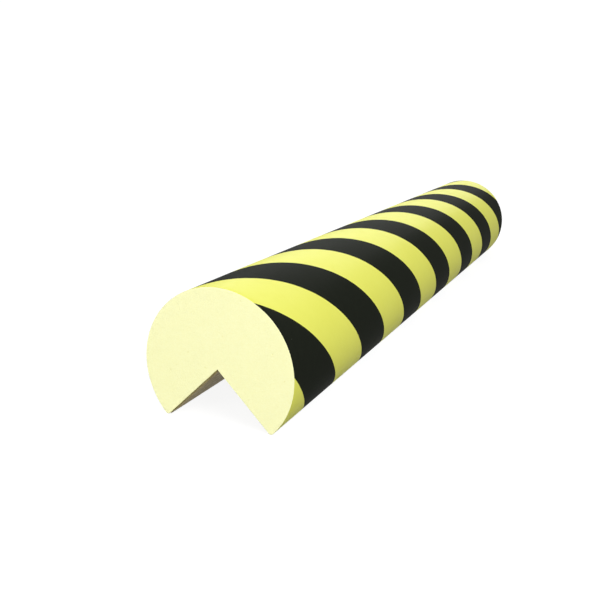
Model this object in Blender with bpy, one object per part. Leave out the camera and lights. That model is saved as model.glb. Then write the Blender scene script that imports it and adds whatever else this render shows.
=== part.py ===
"""Foam corner guard: a three-quarter-round warning profile with tape and liner in its notch.

The guard lies along Y, notch down, on the two lips of its legs. Z = 0 is the floor, and the
origin is below the middle of its length. Turns round the section are counted from the crown,
positive towards +X.
"""

import math

import bmesh
import bpy
from mathutils import Matrix, Vector

# Moulded foam body, in metres
LENGTH = 0.500
DIAMETER = 0.080
NOTCH_ANGLE = math.radians(90.0)
LIP_RADIUS = 0.0015

# Printed warning bands: pitch and width are measured along the guard
BAND_PITCH = 0.080
BAND_WIDTH = 0.040
BAND_ANGLE = math.radians(45.0)
FIRST_BAND = 0.020  # from the near end to the first black band, along the crown

# Self-adhesive tape and its release liner, on both walls of the notch
TAPE_THICKNESS = 0.00020
LINER_THICKNESS = 0.00012
LAYER_GAP = 0.00010
APEX_MARGIN = 0.0010  # from the notch's apex to the liner
LIP_MARGIN = 0.0003  # from the liner to where the lip's rounding starts
LINER_OVERHANG = 0.0005  # the liner is this much wider than the tape on each side

# Facets of the round skin and of each lip
SKIN_FACETS = 90
LIP_FACETS = 6
CREASE_ANGLE = math.radians(35.0)  # edges of the body that are sharper than this stay sharp

# How close two places must be to count as one, in metres
CUT_TOLERANCE = 1e-7
RIM_TOLERANCE = 1e-6

# What follows from the sizes above
RADIUS = DIAMETER / 2
NEAR_END, FAR_END = -LENGTH / 2, LENGTH / 2
WALL_TURN = math.pi - NOTCH_ANGLE / 2  # the turn at which a notch wall leaves the axis
LIP_LAG = math.asin(LIP_RADIUS / (RADIUS - LIP_RADIUS))  # from the lip's centre to its wall
LIP_TURN = WALL_TURN - LIP_LAG  # the turn at which the round skin runs into the lip
LIP_SWEEP = math.pi / 2 + LIP_LAG  # the angle through which a lip is rounded
HALF_ROUND = RADIUS * LIP_TURN  # skin from the crown to where a lip starts
HALF_SKIN = HALF_ROUND + LIP_RADIUS * LIP_SWEEP  # skin from the crown to a notch wall
WALL_WIDTH = (RADIUS - LIP_RADIUS) * math.cos(LIP_LAG)  # flat wall, from the apex to the lip
BAND_SLOPE = math.tan(BAND_ANGLE)  # travel along the guard for each metre round the skin

COLLECTION = "foam_corner_guard"
YELLOW, BLACK, CUT_FOAM = range(3)


def clear_scene():
    for thing in list(bpy.data.objects):
        bpy.data.objects.remove(thing)


def material(name, colour, roughness):
    made = bpy.data.materials.new(name)
    made.use_nodes = True
    made.diffuse_color = (*colour, 1.0)
    shader = made.node_tree.nodes["Principled BSDF"]
    shader.inputs["Base Color"].default_value = (*colour, 1.0)
    shader.inputs["Roughness"].default_value = roughness
    shader.inputs["Metallic"].default_value = 0.0
    return made


def on_section(skin):
    """The point (x, z) of the section, seen from its axis, at a distance round the skin."""
    side = math.copysign(1.0, skin)
    reach = abs(skin)
    if reach <= HALF_ROUND:
        turn = reach / RADIUS
        return side * RADIUS * math.sin(turn), RADIUS * math.cos(turn)
    turn = LIP_TURN + (reach - HALF_ROUND) / LIP_RADIUS
    centre = RADIUS - LIP_RADIUS
    x = centre * math.sin(LIP_TURN) + LIP_RADIUS * math.sin(turn)
    z = centre * math.cos(LIP_TURN) + LIP_RADIUS * math.cos(turn)
    return side * x, z


def bend_lines():
    """Where the flat skin is creased: between the facets of the round and of both lips."""
    on_round = [HALF_ROUND * (2 * i / SKIN_FACETS - 1) for i in range(SKIN_FACETS + 1)]
    lip = LIP_RADIUS * LIP_SWEEP
    on_lip = [HALF_ROUND + lip * i / LIP_FACETS for i in range(1, LIP_FACETS)]
    return on_round + on_lip + [-skin for skin in on_lip]


def axis_height():
    """How high the section's axis is with the lowest crease of each lip on the floor."""
    creases = bend_lines() + [HALF_SKIN]
    return -min(on_section(skin)[1] for skin in creases)


def band_edges():
    """Where both edges of every band that touches the guard cross the crown."""
    reach = HALF_SKIN * BAND_SLOPE
    first = math.floor((-reach - FIRST_BAND) / BAND_PITCH)
    last = math.ceil((LENGTH + reach - FIRST_BAND) / BAND_PITCH)
    starts = [NEAR_END + FIRST_BAND + i * BAND_PITCH for i in range(first, last + 1)]
    return [start + offset for start in starts for offset in (0.0, BAND_WIDTH)]


def cut(mesh, point, normal):
    """Cuts every face of the mesh along a plane."""
    geometry = mesh.verts[:] + mesh.edges[:] + mesh.faces[:]
    across = Vector(normal).normalized()
    bmesh.ops.bisect_plane(
        mesh, geom=geometry, dist=CUT_TOLERANCE, plane_co=point, plane_no=across
    )


def flat_skin():
    """The printed skin before it is rolled up: X runs round the section, Y along the guard."""
    mesh = bmesh.new()
    bmesh.ops.create_grid(mesh, x_segments=1, y_segments=1, size=0.5)
    size = Matrix.Diagonal((2 * HALF_SKIN, LENGTH, 1.0))
    bmesh.ops.transform(mesh, matrix=size.to_4x4(), verts=mesh.verts)
    for crossing in band_edges():
        cut(mesh, (0.0, crossing, 0.0), (-BAND_SLOPE, 1.0, 0.0))
    for skin in bend_lines():
        cut(mesh, (skin, 0.0, 0.0), (1.0, 0.0, 0.0))
    return mesh


def print_bands(mesh):
    """Gives each patch of the flat skin its colour."""
    for face in mesh.faces:
        skin, along, _ = face.calc_center_median()
        crossing = along - BAND_SLOPE * skin - NEAR_END - FIRST_BAND
        face.material_index = BLACK if crossing % BAND_PITCH < BAND_WIDTH else YELLOW
        face.smooth = True


def rim_edges(mesh, axis, value):
    """The edges of the flat skin's rim that lie at a value of X or Y."""
    def is_on(vert):
        return abs(vert.co[axis] - value) < RIM_TOLERANCE

    return [edge for edge in mesh.edges if edge.is_boundary and all(map(is_on, edge.verts))]


def corner(rim, other_rim):
    """The point where two rims meet."""
    points = {vert for edge in rim for vert in edge.verts}
    return next(vert for edge in other_rim for vert in edge.verts if vert in points)


def roll_up(mesh):
    """Bends the flat skin round the section, and closes both notch walls and both ends."""
    walls = [rim_edges(mesh, 0, skin) for skin in (-HALF_SKIN, HALF_SKIN)]
    ends = [rim_edges(mesh, 1, along) for along in (NEAR_END, FAR_END)]
    for vert in mesh.verts:
        x, z = on_section(vert.co.x)
        vert.co = (x, vert.co.y, z)
    apex = [mesh.verts.new((0.0, along, 0.0)) for along in (NEAR_END, FAR_END)]
    spine = mesh.edges.new(apex)
    rays = [[mesh.edges.new((tip, corner(wall, end))) for wall in walls]
            for tip, end in zip(apex, ends)]
    loops = [wall + [spine, rays[0][i], rays[1][i]] for i, wall in enumerate(walls)]
    loops += [end + rays[i] for i, end in enumerate(ends)]
    for loop in loops:
        for face in bmesh.ops.edgeloop_fill(mesh, edges=loop)["faces"]:
            face.material_index = CUT_FOAM
            face.smooth = False
    bmesh.ops.recalc_face_normals(mesh, faces=mesh.faces)


def add_object(name, mesh, materials, parent):
    """Makes a named object of a mesh, under the guard's empty."""
    data = bpy.data.meshes.new(name)
    mesh.to_mesh(data)
    mesh.free()
    for each in materials:
        data.materials.append(each)
    made = bpy.data.objects.new(name, data)
    bpy.data.collections[COLLECTION].objects.link(made)
    made.parent = parent
    return made


def foam_body(parent):
    """The moulded foam with its printed skin, round the section's axis."""
    mesh = flat_skin()
    print_bands(mesh)
    roll_up(mesh)
    skins = [
        material("yellow_skin", (0.92, 0.93, 0.14), 0.60),
        material("black_print", (0.008, 0.009, 0.007), 0.60),
        material("cut_foam", (0.96, 0.95, 0.54), 0.92),
    ]
    body = add_object("foam_body", mesh, skins, parent)
    body.data.set_sharp_from_angle(angle=CREASE_ANGLE)
    body.location.z = axis_height()


def strip(name, side, reach, lift, thickness, finish, parent):
    """A flat strip on one notch wall.

    The side is +1 at +X, the reach runs from the apex to the strip's two edges, and the lift is
    the strip's height over the wall.
    """
    start, end = reach
    mesh = bmesh.new()
    bmesh.ops.create_cube(mesh, size=1.0)
    size = Matrix.Diagonal((end - start, LENGTH, thickness))
    bmesh.ops.transform(mesh, matrix=size.to_4x4(), verts=mesh.verts)
    made = add_object(name, mesh, [finish], parent)
    tilt = side * (WALL_TURN - math.pi / 2)
    made.rotation_euler.y = tilt
    middle = Vector((side * (start + end) / 2, 0.0, -lift - thickness / 2))
    made.location = Matrix.Rotation(tilt, 3, "Y") @ middle
    made.location.z += axis_height()


def adhesive_strips(parent):
    """The tape on each wall of the notch, and the liner that covers it until it is used."""
    tape = material("adhesive_tape", (0.35, 0.30, 0.11), 0.40)
    liner = material("kraft_liner", (0.55, 0.42, 0.18), 0.57)
    tape_lift = LAYER_GAP
    liner_lift = tape_lift + TAPE_THICKNESS + LAYER_GAP
    liner_reach = (APEX_MARGIN, WALL_WIDTH - LIP_MARGIN)
    tape_reach = (liner_reach[0] + LINER_OVERHANG, liner_reach[1] - LINER_OVERHANG)
    for side, leg in ((-1, "left"), (1, "right")):
        strip(f"tape_{leg}", side, tape_reach, tape_lift, TAPE_THICKNESS, tape, parent)
        strip(f"liner_{leg}", side, liner_reach, liner_lift, LINER_THICKNESS, liner, parent)


def main():
    clear_scene()
    collection = bpy.data.collections.new(COLLECTION)
    bpy.context.scene.collection.children.link(collection)
    guard = bpy.data.objects.new("guard_origin", None)
    collection.objects.link(guard)
    foam_body(guard)
    adhesive_strips(guard)
    bpy.context.view_layer.update()


main()
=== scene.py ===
"""Looks of the foam corner guard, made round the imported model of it.

The guard lies along Y on the two lips of its legs, notch down. A turn is an angle round the
section's axis, counted from the crown and positive towards +X. All sizes are in metres.
"""

import math

import bmesh
import bpy
from mathutils import Matrix, Vector, noise


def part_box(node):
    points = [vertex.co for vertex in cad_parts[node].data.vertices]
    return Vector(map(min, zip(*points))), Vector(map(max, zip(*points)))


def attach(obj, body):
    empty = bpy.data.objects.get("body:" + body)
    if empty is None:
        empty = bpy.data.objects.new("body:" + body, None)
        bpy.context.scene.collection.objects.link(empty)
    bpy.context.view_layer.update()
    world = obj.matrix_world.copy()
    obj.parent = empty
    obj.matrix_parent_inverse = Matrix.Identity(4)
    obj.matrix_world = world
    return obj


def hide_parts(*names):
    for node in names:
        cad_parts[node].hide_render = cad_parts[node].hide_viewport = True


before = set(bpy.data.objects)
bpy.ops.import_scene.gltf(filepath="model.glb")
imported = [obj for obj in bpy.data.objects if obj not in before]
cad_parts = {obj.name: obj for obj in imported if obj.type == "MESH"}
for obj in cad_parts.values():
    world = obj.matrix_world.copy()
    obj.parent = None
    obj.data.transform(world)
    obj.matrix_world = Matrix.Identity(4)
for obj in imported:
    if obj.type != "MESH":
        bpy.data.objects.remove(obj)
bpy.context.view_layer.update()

foam_low, foam_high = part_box("foam_body")

# The foam profile
RADIUS = 0.040
LIP_RADIUS = 0.0015
NOTCH_ANGLE = math.radians(90.0)
CUT_EDGE = 0.00020  # how far the knife's edges are rounded at the two cut ends
SWELL = 0.00010  # how far the moulded skin wanders from a true round
SWELL_LENGTH = 0.045  # from one swelling to the next
SHORT_SWELL = 0.4  # the share of a second, shorter swell on top
SHORT_SWELL_RATE = 2.7  # how many times shorter it is
SWELL_FADE = 0.010  # the height over the floor up to which the swell grows from nothing

# The printed warning bands, measured along the guard
BAND_PITCH = 0.080
BAND_WIDTH = 0.040
BAND_SLOPE = math.tan(math.radians(45.0))
FIRST_BAND = 0.020  # from the near end to the first black band, along the crown
INK_WANDER = 0.0005  # how far the edge of a band strays, from side to side
INK_WANDER_SIZE = 0.006  # how long its waves are
INK_SPREAD = 0.00018  # half the width of a band's soft edge
SKIN_GLOSS = 0.011  # low, because all that the gloss mirrors here is white
INK_GLOSS = 0.0012

# The tape on the notch walls and its release liner. A lift is counted from the wall.
APEX_MARGIN = 0.0010  # from the notch's apex to the liner
LIP_MARGIN = 0.0003  # from the liner to where the lip's rounding starts
LINER_OVERHANG = 0.0005  # the liner is this much wider than the tape on each side
TAPE_LIFT = 0.00020
TAPE_THICKNESS = 0.00020
LINER_LIFT = 0.00041
LINER_THICKNESS = 0.00012
LINER_RIPPLE = 0.00011
RIPPLE_ACROSS = 18.0  # swings of the paper for each metre across the web
RIPPLE_ALONG = 45.0  # and along it
RIPPLE_SEED = 7.0  # keeps the ripples of the two walls apart
RIGHT_SETBACK = 0.0010  # the right wall's tape and liner stop this far from the cut ends

# How finely the meshes are divided
SKIN_STEPS = 180
LIP_STEPS = 8
WALL_STEPS = 10
LENGTH_STEPS = 120
EDGE_STEPS = 3
WALL_EDGE_SHARE = 0.012  # how close the first and last rows of a wall lie to its edges
SHEET_WIDTH_STEPS = 14
SHEET_LENGTH_STEPS = 160
SHARP_ANGLE = math.radians(40.0)  # edges that turn by more than this stay sharp

# What follows from the sizes
NEAR_END, FAR_END = foam_low.y, foam_high.y
LENGTH = FAR_END - NEAR_END
AXIS_HEIGHT = foam_high.z - RADIUS
WALL_TURN = math.pi - NOTCH_ANGLE / 2
LIP_LAG = math.asin(LIP_RADIUS / (RADIUS - LIP_RADIUS))
LIP_TURN = WALL_TURN - LIP_LAG
WALL_WIDTH = (RADIUS - LIP_RADIUS) * math.cos(LIP_LAG)

# The photographer's camera
CAMERA_PLACE = Vector((0.17925, -0.55833, 0.15788))
CAMERA_TURN = math.radians(23.99)
CAMERA_DIP = math.radians(15.07)
CAMERA_ROLL = math.radians(1.04)
CAMERA_LENS = 47.87
CAMERA_CLIP = 0.01  # the nearest that it sees

# The studio
WHITE = (1.0, 1.0, 1.0, 1.0)
BACKDROP = 1.04  # white behind the guard, with a little to spare, so that it rounds to white
DOME_LIGHT = 0.33
FLOOR_REACH = 6.0  # from the middle of the floor to its edges
FLOOR_BOUNCE = (0.16, 0.16, 0.16, 1.0)  # how much light the floor throws back at the guard
FLOOR_TONE = (0.2, 0.2, 0.2, 1.0)  # the part of the floor's look that a shadow can darken
FLOOR_GLOW = 0.9  # the rest of it
FLOOR_FADE = (0.45, 1.1)  # how far from the middle it starts and ends to turn into the backdrop
LAMPS = (  # name, place, width, height and watts
    ("front", (-0.60, -1.95, 0.35), 1.2, 0.6, 21.2),
    ("side", (0.75, -0.60, 0.60), 0.6, 0.6, 7.2),
    ("rear", (-0.80, 3.30, 1.45), 3.0, 0.8, 100.0),
)

# The foam's materials, by slot
SKIN, MOULDED, CUT = range(3)


class Value:
    """A number that varies over a surface. Python's operators on it add Math nodes."""

    def __init__(self, finish, socket):
        self.finish = finish
        self.socket = socket

    def __add__(self, other):
        return self.finish.math("ADD", self, other)

    def __radd__(self, other):
        return self.finish.math("ADD", other, self)

    def __sub__(self, other):
        return self.finish.math("SUBTRACT", self, other)

    def __rsub__(self, other):
        return self.finish.math("SUBTRACT", other, self)

    def __mul__(self, other):
        return self.finish.math("MULTIPLY", self, other)

    def __rmul__(self, other):
        return self.finish.math("MULTIPLY", other, self)

    def __truediv__(self, other):
        return self.finish.math("DIVIDE", self, other)

    def __rtruediv__(self, other):
        return self.finish.math("DIVIDE", other, self)


class Finish:
    """A material and the nodes that make its surface."""

    def __init__(self, name):
        self.material = bpy.data.materials.new(name)
        self.material.use_nodes = True
        self.tree = self.material.node_tree
        self.shader = self.tree.nodes["Principled BSDF"]

    def node(self, kind, settings=None, inputs=None):
        """Adds a node: its settings come first, then the values or links of its sockets."""
        made = self.tree.nodes.new(kind)
        for name, value in (settings or {}).items():
            setattr(made, name, value)
        for name, value in (inputs or {}).items():
            self.feed(made.inputs[name], value)
        return made

    def feed(self, socket, value):
        """Links a socket, or sets it to a constant."""
        if isinstance(value, Value):
            value = value.socket
        if isinstance(value, bpy.types.NodeSocket):
            self.tree.links.new(value, socket)
        else:
            socket.default_value = value

    def math(self, operation, *numbers, clamp=False):
        settings = {"operation": operation, "use_clamp": clamp}
        made = self.node("ShaderNodeMath", settings, dict(enumerate(numbers)))
        return Value(self, made.outputs[0])

    def place(self, stretch=(1.0, 1.0, 1.0)):
        """The object's own coordinates, in metres, each multiplied by its stretch."""
        source = self.node("ShaderNodeTexCoord").outputs["Object"]
        made = self.node(
            "ShaderNodeVectorMath", {"operation": "MULTIPLY"}, {0: source, 1: stretch}
        )
        return made.outputs[0]

    def split(self, vector):
        made = self.node("ShaderNodeSeparateXYZ", inputs={0: vector})
        return [Value(self, socket) for socket in made.outputs]

    def grain(self, size, detail=2.0, roughness=0.5, place=None):
        """Soft noise from 0 to 1 whose lumps are about as wide as the size."""
        made = self.node(
            "ShaderNodeTexNoise",
            {"noise_dimensions": "3D"},
            {
                "Vector": place or self.place(),
                "Scale": 1.0 / size,
                "Detail": detail,
                "Roughness": roughness,
            },
        )
        return Value(self, made.outputs["Fac"])

    def cells(self, size, place=None):
        """Distance to the nearest cell's middle, in cell widths, and the cell's own number."""
        made = self.node(
            "ShaderNodeTexVoronoi",
            {"voronoi_dimensions": "3D", "feature": "F1"},
            {"Vector": place or self.place(), "Scale": 1.0 / size},
        )
        shade = self.node("ShaderNodeSeparateColor", inputs={0: made.outputs["Color"]})
        return Value(self, made.outputs["Distance"]), Value(self, shade.outputs[0])

    def step(self, value, start, end):
        """Turns smoothly from 0 at the start to 1 at the end."""
        made = self.node(
            "ShaderNodeMapRange",
            {"interpolation_type": "SMOOTHSTEP"},
            {"Value": value, "From Min": start, "From Max": end},
        )
        return Value(self, made.outputs["Result"])

    def blend(self, share, first, second):
        """A colour between two others."""
        made = self.node("ShaderNodeMix", {"data_type": "RGBA"}, {"Factor": share})
        self.feed(made.inputs[6], first)
        self.feed(made.inputs[7], second)
        return made.outputs[2]

    def relief(self, height, depth):
        """Raises the surface by a height of 0 to 1 times the depth."""
        made = self.node(
            "ShaderNodeBump", inputs={"Height": height, "Distance": depth, "Strength": 1.0}
        )
        self.feed(self.shader.inputs["Normal"], made.outputs[0])
        return made.outputs[0]

    def cover(self, share, **sockets):
        """A second surface over the first one, where the share is 1."""
        inputs = {name.replace("_", " "): value for name, value in sockets.items()}
        over = self.node("ShaderNodeBsdfPrincipled", inputs=inputs)
        mixed = self.node(
            "ShaderNodeMixShader", inputs={0: share, 1: self.shader.outputs[0], 2: over.outputs[0]}
        )
        self.feed(self.tree.nodes["Material Output"].inputs["Surface"], mixed.outputs[0])

    def set(self, **sockets):
        """Sets the shader's own sockets, and gives back the material."""
        for name, value in sockets.items():
            self.feed(self.shader.inputs[name.replace("_", " ")], value)
        return self.material


def shade(red, green, blue):
    """A colour as a screen shows it, from 0 to 255, turned into the linear values of a shader."""
    def linear(part):
        part /= 255.0
        return part / 12.92 if part <= 0.04045 else ((part + 0.055) / 1.055) ** 2.4

    return (linear(red), linear(green), linear(blue), 1.0)


def band_ink(finish):
    """1 on the printed black bands and 0 on the yellow between them, with a soft inked edge."""
    x, y, z = finish.split(finish.place())
    turn = finish.math("ARCTAN2", x, z - AXIS_HEIGHT)
    wander = (finish.grain(INK_WANDER_SIZE, detail=3.0) - 0.5) * INK_WANDER
    crossing = y - turn * (RADIUS * BAND_SLOPE) + wander
    from_middle = crossing - (NEAR_END + FIRST_BAND + BAND_WIDTH / 2)
    share = finish.math("FRACT", from_middle / BAND_PITCH + 0.5)
    distance = finish.math("ABSOLUTE", share - 0.5) * BAND_PITCH
    return finish.step(distance, BAND_WIDTH / 2 + INK_SPREAD, BAND_WIDTH / 2 - INK_SPREAD)


def printed_skin():
    """The moulded skin of the round: satin yellow foam with bands of matt black ink."""
    finish = Finish("printed_skin")
    ink = band_ink(finish)
    cloud = finish.grain(0.030, detail=3.0)
    mottle = finish.grain(0.004, detail=3.0, roughness=0.6)
    yellow = finish.blend(cloud, shade(238, 239, 104), shade(242, 243, 116))
    yellow = finish.blend(mottle * 0.5, yellow, shade(233, 234, 98))
    black = finish.blend(mottle, shade(29, 32, 26), shade(35, 38, 31))
    spot, number = finish.cells(0.006)
    speck = finish.step(spot, 0.045, 0.02) * finish.step(number, 0.80, 0.82)
    yellow = finish.blend(speck * 0.45, yellow, shade(176, 176, 120))
    black = finish.blend(speck * 0.35, black, shade(120, 122, 110))
    pore, _ = finish.cells(0.0011)
    pits = finish.step(pore, 0.05, 0.30)
    orange_peel = finish.grain(0.0018, detail=2.0)
    skin = finish.relief(orange_peel * 0.6 + pits * 0.3 + ink * 0.1, 0.00008)
    rough = 0.38 + mottle * 0.12
    finish.set(Base_Color=yellow, Roughness=rough, Specular_IOR_Level=SKIN_GLOSS)
    finish.cover(
        ink, Base_Color=black, Roughness=rough, Specular_IOR_Level=INK_GLOSS, Normal=skin
    )
    return finish.material


def moulded_foam():
    """The bare foam of the notch walls, beside the tape."""
    finish = Finish("moulded_foam")
    mottle = finish.grain(0.003, detail=3.0)
    pore, _ = finish.cells(0.0007)
    colour = finish.blend(mottle, shade(236, 234, 120), shade(246, 244, 140))
    finish.relief(finish.step(pore, 0.1, 0.5) * 0.6 + mottle * 0.4, 0.00012)
    return finish.set(Base_Color=colour, Roughness=0.75, Specular_IOR_Level=0.25)


def cut_foam():
    """The open cells of the foam where a knife has cut the guard to length, with painted shade in
    its larger bubble holes.
    """
    finish = Finish("cut_foam")
    fine, tone = finish.cells(0.00055)
    bubble, number = finish.cells(0.0032)
    hole = finish.step(bubble, 0.16, 0.08) * finish.step(number, 0.86, 0.88)
    cloud = finish.grain(0.020, detail=3.0)
    colour = finish.blend(tone * 0.35, shade(251, 251, 199), shade(246, 243, 175))
    colour = finish.blend(cloud * 0.30, colour, shade(248, 248, 179))
    # The bubble holes are painted darker and deeper yellow: painted shade in their hollows, not a
    # colour of the foam.
    colour = finish.blend(hole * 0.35, colour, shade(230, 224, 130))
    strokes = finish.grain(0.0020, detail=2.0, place=finish.place((0.25, 1.0, 1.6)))
    height = finish.step(fine, 0.05, 0.55) * 0.5 + strokes * 0.3 - hole * 0.5
    finish.relief(height, 0.00016)
    return finish.set(Base_Color=colour, Roughness=0.92, Specular_IOR_Level=0.15)


def kraft_liner():
    """Brown release paper: short fibres along the web, soft clouds, and small flecks."""
    finish = Finish("kraft_paper")
    along_web = finish.place((1.0, 0.7, 1.0))
    cloud = finish.step(finish.grain(0.004, detail=4.0, roughness=0.7, place=along_web), 0.36, 0.64)
    fibre = finish.grain(0.0014, detail=3.0, place=finish.place((1.0, 0.25, 1.0)))
    fleck, number = finish.cells(0.0032, place=along_web)
    colour = finish.blend(cloud, shade(170, 148, 82), shade(222, 204, 134))
    colour = finish.blend(fibre * 0.6, colour, shade(160, 136, 72))
    small = finish.step(fleck, 0.40, 0.22)
    dark = small * finish.step(number, 0.66, 0.68)
    pale = small * finish.step(number, 0.24, 0.22)
    colour = finish.blend(dark * 0.55, colour, shade(106, 88, 40))
    colour = finish.blend(pale * 0.55, colour, shade(246, 232, 178))
    finish.relief(fibre * 0.6 + cloud * 0.4, 0.00005)
    rough = 0.48 + fibre * 0.18
    return finish.set(Base_Color=colour, Roughness=rough, Specular_IOR_Level=0.25)


def adhesive_tape():
    """The brownish double-sided tape under the liner, seen only along its edges."""
    finish = Finish("adhesive_tape")
    cloud = finish.grain(0.006, detail=2.0)
    colour = finish.blend(cloud, shade(104, 96, 50), shade(124, 114, 62))
    finish.relief(cloud, 0.00002)
    return finish.set(Base_Color=colour, Roughness=0.35 + cloud * 0.1)


def swell(point, y):
    """The moulded skin's slow wander from a true round, which dies out towards the lips."""
    at = Vector((point.x, y, point.y)) / SWELL_LENGTH
    share = min(1.0, max(0.0, (point.y + AXIS_HEIGHT) / SWELL_FADE))
    short = SHORT_SWELL * noise.noise(at * SHORT_SWELL_RATE)
    return SWELL * share * (noise.noise(at) + short)


def skin_points():
    """The round of the section from the left wall to the right one: points and normals.

    X and Z are counted from the axis. Each lip is a small round between the skin and a wall.
    """
    middle = RADIUS - LIP_RADIUS
    half = [
        (RADIUS * math.sin(turn), RADIUS * math.cos(turn), turn)
        for turn in (LIP_TURN * i / (SKIN_STEPS // 2) for i in range(SKIN_STEPS // 2 + 1))
    ]
    sweep = math.pi / 2 + LIP_LAG
    for i in range(1, LIP_STEPS + 1):
        turn = LIP_TURN + sweep * i / LIP_STEPS
        x = middle * math.sin(LIP_TURN) + LIP_RADIUS * math.sin(turn)
        z = middle * math.cos(LIP_TURN) + LIP_RADIUS * math.cos(turn)
        half.append((x, z, turn))
    right = [(Vector((x, z)), Vector((math.sin(t), math.cos(t)))) for x, z, t in half]
    left = [
        (Vector((-p.x, p.y)), Vector((-n.x, n.y))) for p, n in reversed(right[1:])
    ]
    return left + right


def wall_shares():
    """Where the rows of the walls and cut ends lie, from 0 at the apex to 1 at the skin."""
    inner = [i / WALL_STEPS for i in range(1, WALL_STEPS)]
    return [0.0, WALL_EDGE_SHARE] + inner + [1.0 - WALL_EDGE_SHARE, 1.0]


def stations():
    """Places along the guard with how far the section shrinks there: rounded at both ends."""
    steps = [math.pi / 2 * i / EDGE_STEPS for i in range(EDGE_STEPS + 1)]
    rounded = [(CUT_EDGE * (1 - math.cos(a)), CUT_EDGE * (1 - math.sin(a))) for a in steps]
    inner = LENGTH - 2 * CUT_EDGE
    even = [CUT_EDGE + inner * i / LENGTH_STEPS for i in range(1, LENGTH_STEPS)]
    near = [(NEAR_END + depth, shrink) for depth, shrink in rounded]
    far = [(FAR_END - depth, shrink) for depth, shrink in reversed(rounded)]
    return near + [(NEAR_END + depth, 0.0) for depth in even] + far


def ring(mesh, y, shrink):
    """The section's vertices at one station: its apex, the two walls and the skin."""
    apex = Vector((0.0, shrink / math.sin(NOTCH_ANGLE / 2)))
    outline = skin_points()
    ends = (0, len(outline) - 1)
    skin = []
    for i, (point, normal) in enumerate(outline):
        out = 0.0 if i in ends else swell(point, y)
        skin.append(point + normal * (out - shrink))

    def vertex(at):
        return mesh.verts.new((at.x, y, at.y + AXIS_HEIGHT))

    skin_verts = [vertex(at) for at in skin]
    apex_vert = vertex(apex)
    walls = []
    for i in ends:
        between = [vertex(apex.lerp(skin[i], share)) for share in wall_shares()[1:-1]]
        walls.append([apex_vert] + between + [skin_verts[i]])
    return {"apex": apex, "skin_at": skin, "skin": skin_verts, "walls": walls, "y": y}


def join(mesh, first, second, slot):
    """A strip of faces between two rows of vertices."""
    for i in range(len(first) - 1):
        face = mesh.faces.new((first[i], first[i + 1], second[i + 1], second[i]))
        face.material_index = slot


def cap(mesh, end):
    """The cut face at an end: rays from the apex to every point of the skin."""
    rays = [end["walls"][0]]
    for at, vert in zip(end["skin_at"][1:-1], end["skin"][1:-1]):
        between = [
            mesh.verts.new((p.x, end["y"], p.y + AXIS_HEIGHT))
            for p in (end["apex"].lerp(at, share) for share in wall_shares()[1:-1])
        ]
        rays.append([end["walls"][0][0]] + between + [vert])
    rays.append(end["walls"][1])
    for first, second in zip(rays, rays[1:]):
        mesh.faces.new((first[0], first[1], second[1])).material_index = CUT
        join(mesh, first[1:], second[1:], CUT)


def add_piece(name, mesh, materials):
    """Puts a mesh in the scene as a smooth piece that rides on the guard."""
    bmesh.ops.recalc_face_normals(mesh, faces=mesh.faces)
    data = bpy.data.meshes.new(name)
    mesh.to_mesh(data)
    mesh.free()
    for material in materials:
        data.materials.append(material)
    data.shade_smooth()
    data.set_sharp_from_angle(angle=SHARP_ANGLE)
    piece = bpy.data.objects.new(name, data)
    bpy.context.scene.collection.objects.link(piece)
    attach(piece, "root")
    return piece


def foam():
    """The whole foam profile, with rounded cut edges and a skin that wanders a little."""
    mesh = bmesh.new()
    places = stations()
    rings = [ring(mesh, y, shrink) for y, shrink in places]
    for first, second in zip(rings, rings[1:]):
        # Only the outermost strip of the rounded edge belongs to the cut.
        on_cut = min(abs(first["y"] - NEAR_END), abs(second["y"] - FAR_END)) < CUT_EDGE / 4
        join(mesh, first["skin"], second["skin"], CUT if on_cut else SKIN)
        for wall, next_wall in zip(first["walls"], second["walls"]):
            join(mesh, wall, next_wall, CUT if on_cut else MOULDED)
    cap(mesh, rings[0])
    cap(mesh, rings[-1])
    piece = add_piece("foam_profile", mesh, [printed_skin(), moulded_foam(), cut_foam()])
    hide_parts("foam_body")


def sheet(node, side, reach, lift, thickness, ripple, materials):
    """A thin sheet on one wall of the notch, which may stand off in the slow ripples of paper.

    The last of its materials is on its cut edges.
    """
    along = Vector((side * math.sin(WALL_TURN), 0.0, math.cos(WALL_TURN)))
    out = Vector((side * math.cos(WALL_TURN), 0.0, -math.sin(WALL_TURN)))
    start, end = reach
    setback = RIGHT_SETBACK if side > 0 else 0.0
    mesh = bmesh.new()
    rows = []
    for i in range(SHEET_LENGTH_STEPS + 1):
        y = NEAR_END + setback + (LENGTH - 2 * setback) * i / SHEET_LENGTH_STEPS
        row = []
        for j in range(SHEET_WIDTH_STEPS + 1):
            across = start + (end - start) * j / SHEET_WIDTH_STEPS
            at = Vector((across * RIPPLE_ACROSS, y * RIPPLE_ALONG, RIPPLE_SEED * side))
            wave = noise.noise(at)
            point = along * across + out * (lift + ripple * max(0.0, wave))
            row.append(mesh.verts.new((point.x, y, point.z + AXIS_HEIGHT)))
        rows.append(row)
    for first, second in zip(rows, rows[1:]):
        join(mesh, first, second, 0)
    piece = add_piece(node + "_sheet", mesh, materials)
    thick = piece.modifiers.new("thickness", "SOLIDIFY")
    thick.material_offset_rim = len(materials) - 1
    thick.thickness = thickness
    thick.offset = 0.0
    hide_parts(node)


def strips():
    """Tape and liner on both walls of the notch."""
    paper = kraft_liner()
    tape = adhesive_tape()
    reach = (APEX_MARGIN, WALL_WIDTH - LIP_MARGIN)
    inner = (reach[0] + LINER_OVERHANG, reach[1] - LINER_OVERHANG)
    for side, leg in ((-1, "left"), (1, "right")):
        sheet("tape_" + leg, side, inner, TAPE_LIFT, TAPE_THICKNESS, 0.0, [tape])
        sheet("liner_" + leg, side, reach, LINER_LIFT, LINER_THICKNESS, LINER_RIPPLE,
              [paper, tape])


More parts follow.
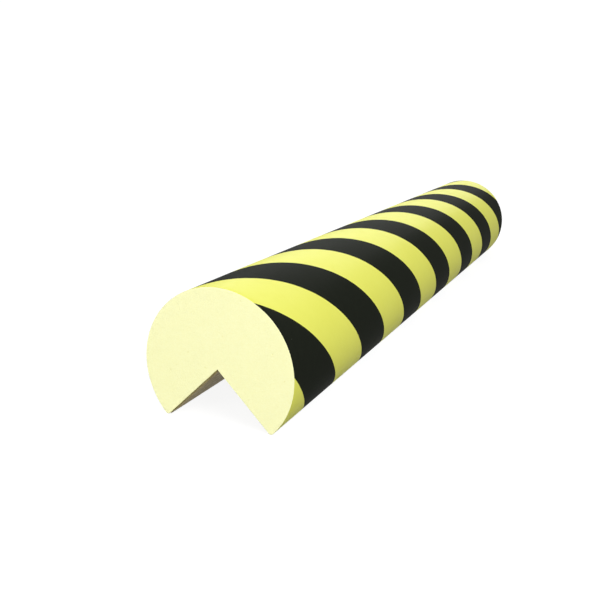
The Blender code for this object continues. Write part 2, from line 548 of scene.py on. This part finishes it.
def bright_to_eye(finish, eye, other):
    """The first shader for the camera, glossy and transmission rays, and the second for light."""
    path = finish.node("ShaderNodeLightPath")
    camera, glossy, through = (
        Value(finish, path.outputs[name])
        for name in ("Is Camera Ray", "Is Glossy Ray", "Is Transmission Ray")
    )
    seen = finish.math("ADD", camera + glossy, through, clamp=True)
    return finish.node("ShaderNodeMixShader", inputs={0: seen, 1: other, 2: eye}).outputs[0]


class Sky(Finish):
    """The world's nodes, made with the same methods."""

    def __init__(self):
        world = bpy.data.worlds.new("studio")
        world.use_nodes = True
        bpy.context.scene.world = world
        self.tree = world.node_tree
        self.tree.nodes.clear()


def studio_sky():
    """White behind the guard, and a soft even light on it."""
    sky = Sky()
    white = sky.node("ShaderNodeBackground", inputs={"Color": WHITE, "Strength": BACKDROP})
    soft = sky.node("ShaderNodeBackground", inputs={"Color": WHITE, "Strength": DOME_LIGHT})
    seen = bright_to_eye(sky, white.outputs[0], soft.outputs[0])
    sky.node("ShaderNodeOutputWorld", inputs={"Surface": seen})


def floor():
    """A wide pale floor: white to the eye apart from the guard's shadow."""
    mesh = bmesh.new()
    bmesh.ops.create_grid(mesh, x_segments=1, y_segments=1, size=FLOOR_REACH)
    data = bpy.data.meshes.new("floor")
    mesh.to_mesh(data)
    mesh.free()
    piece = bpy.data.objects.new("floor", data)
    bpy.context.scene.collection.objects.link(piece)
    finish = Finish("pale_floor")
    finish.set(Base_Color=FLOOR_BOUNCE, Roughness=1.0, Specular_IOR_Level=0.0)
    shadowed = finish.node("ShaderNodeBsdfDiffuse", inputs={"Color": FLOOR_TONE})
    glow = finish.node("ShaderNodeEmission", inputs={"Color": WHITE, "Strength": FLOOR_GLOW})
    white = finish.node("ShaderNodeEmission", inputs={"Color": WHITE, "Strength": BACKDROP})
    both = finish.node("ShaderNodeAddShader", inputs={0: shadowed.outputs[0], 1: glow.outputs[0]})
    x, y, _ = finish.split(finish.place())
    away = finish.math("SQRT", x * x + y * y)
    fade = finish.step(away, *FLOOR_FADE)
    seen = finish.node(
        "ShaderNodeMixShader", inputs={0: fade, 1: both.outputs[0], 2: white.outputs[0]}
    )
    lit = finish.shader.outputs[0]
    output = finish.tree.nodes["Material Output"]
    finish.feed(output.inputs["Surface"], bright_to_eye(finish, seen.outputs[0], lit))
    data.materials.append(finish.material)


def softbox(name, place, target, width, height, power):
    """A large rectangular lamp that faces a point."""
    data = bpy.data.lights.new(name, "AREA")
    data.shape = "RECTANGLE"
    data.size, data.size_y = width, height
    data.energy = power
    lamp = bpy.data.objects.new(name, data)
    lamp.location = place
    aim = Vector(target) - Vector(place)
    lamp.rotation_euler = aim.to_track_quat("-Z", "Y").to_euler()
    bpy.context.scene.collection.objects.link(lamp)


def lights():
    middle = (0.0, 0.0, AXIS_HEIGHT)
    for name, place, width, height, power in LAMPS:
        softbox(name, place, middle, width, height, power)


def camera():
    """The photograph's view."""
    data = bpy.data.cameras.new("photo_camera")
    data.lens = CAMERA_LENS
    data.clip_start = CAMERA_CLIP
    made = bpy.data.objects.new("photo_camera", data)
    turn = Matrix.Rotation(CAMERA_TURN, 4, "Z")
    dip = Matrix.Rotation(math.pi / 2 - CAMERA_DIP, 4, "X")
    roll = Matrix.Rotation(CAMERA_ROLL, 4, "Z")
    made.matrix_world = Matrix.Translation(CAMERA_PLACE) @ turn @ dip @ roll
    bpy.context.scene.collection.objects.link(made)
    bpy.context.scene.camera = made


bpy.context.scene.view_settings.view_transform = "Standard"
camera()
foam()
strips()
floor()
studio_sky()
lights()

bpy.context.view_layer.update()
